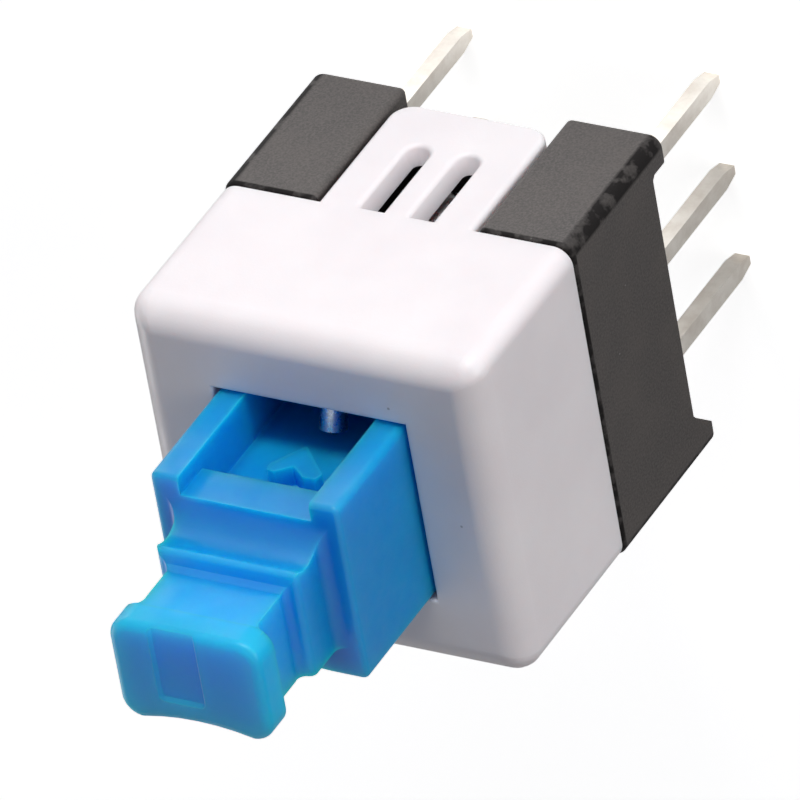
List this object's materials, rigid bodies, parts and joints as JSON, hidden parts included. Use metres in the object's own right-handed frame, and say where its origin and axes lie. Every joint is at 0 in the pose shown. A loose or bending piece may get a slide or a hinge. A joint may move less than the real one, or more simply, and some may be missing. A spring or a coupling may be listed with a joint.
{
  "type": "latching push button switch",
  "caption": "Small vertical push button switch for a circuit board that latches on each press, with a T-ended plunger, a clipped cover and flat solder terminals.",
  "frame": {"origin": "the middle of the body's footprint, on the board's face, where the feet stand", "axes": "+Z is the way the plunger comes out, away from the board; -Y is the side with the slotted flap; X runs across the two rows of terminals"},
  "size_m": [0.007, 0.0068, 0.0159],
  "materials": {
    "base_plastic": "fine-grained moulded black",
    "cover_plastic": "satin moulded white",
    "plunger_plastic": "satin moulded blue",
    "spring_steel": "drawn wire",
    "contact_metal": "bright stamped strip",
    "terminal_plating": "tin plated"
  },
  "bodies": {
    "housing": {"base_housing": "base_plastic", "cover": "cover_plastic", "return_spring": "spring_steel", "terminal_left_front": "terminal_plating", "terminal_left_common": "terminal_plating", "terminal_left_rear": "terminal_plating", "terminal_right_front": "terminal_plating", "terminal_right_common": "terminal_plating", "terminal_right_rear": "terminal_plating"},
    "plunger": {"plunger": "plunger_plastic", "moving_contact_left": "contact_metal", "moving_contact_right": "contact_metal"},
    "latch": {"latch_wire": "spring_steel"}
  },
  "joints": [
    {"name": "plunger_slide", "type": "slide", "parent": "housing", "child": "plunger", "axis": [0, 0, -1], "range_m": [0, 0.002], "stiffness_N_per_m": 700, "springref_m": -0.001, "deforming": ["return_spring"]},
    {"name": "latch_swing", "type": "hinge", "parent": "housing", "child": "latch", "pos_m": [0, -0.0015, 0.0015], "axis": [0, 1, 0], "range_deg": [0, 11.5]}
  ],
  "couplings": [
    {"joint": "latch_swing", "follows": "plunger_slide", "rad_per_m": 100}
  ]
}
